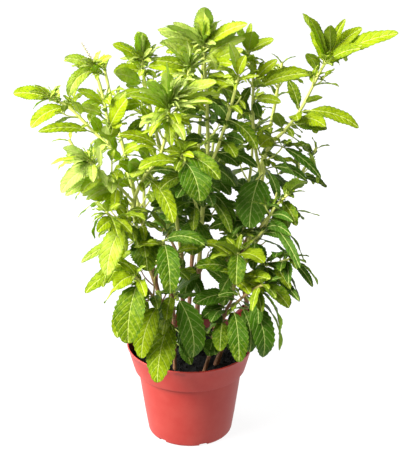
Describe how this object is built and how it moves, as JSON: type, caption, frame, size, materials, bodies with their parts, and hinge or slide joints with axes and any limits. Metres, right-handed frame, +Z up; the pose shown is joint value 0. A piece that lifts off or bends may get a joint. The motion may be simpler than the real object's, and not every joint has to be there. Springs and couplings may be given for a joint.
{
  "type": "potted holy basil plant",
  "caption": "Bushy herb with toothed oval leaves on woody stems, growing in soil in a round tapered nursery pot.",
  "frame": {"origin": "centre of the pot's flat base, on the surface it stands on", "axes": "+Z up along the pot's axis; -Y towards the front of the plant; +X to its right"},
  "size_m": [0.3694, 0.266, 0.4546],
  "materials": {
    "pot_plastic": "terracotta-coloured moulded plastic",
    "soil": "loose dark potting soil",
    "foliage": "soft matt leaf, paler under",
    "tie": "wound band with pale cross stripes"
  },
  "bodies": {
    "root": {"pot": "pot_plastic", "soil": "soil", "stem_left": "foliage", "stem_crown": "foliage", "stem_centre": "foliage", "stem_right": "foliage", "stem_front_left": "foliage", "stem_front_right": "foliage", "stem_back_left": "foliage", "stem_back": "foliage", "stem_back_right": "foliage", "red_tie": "tie"}
  },
  "joints": []
}
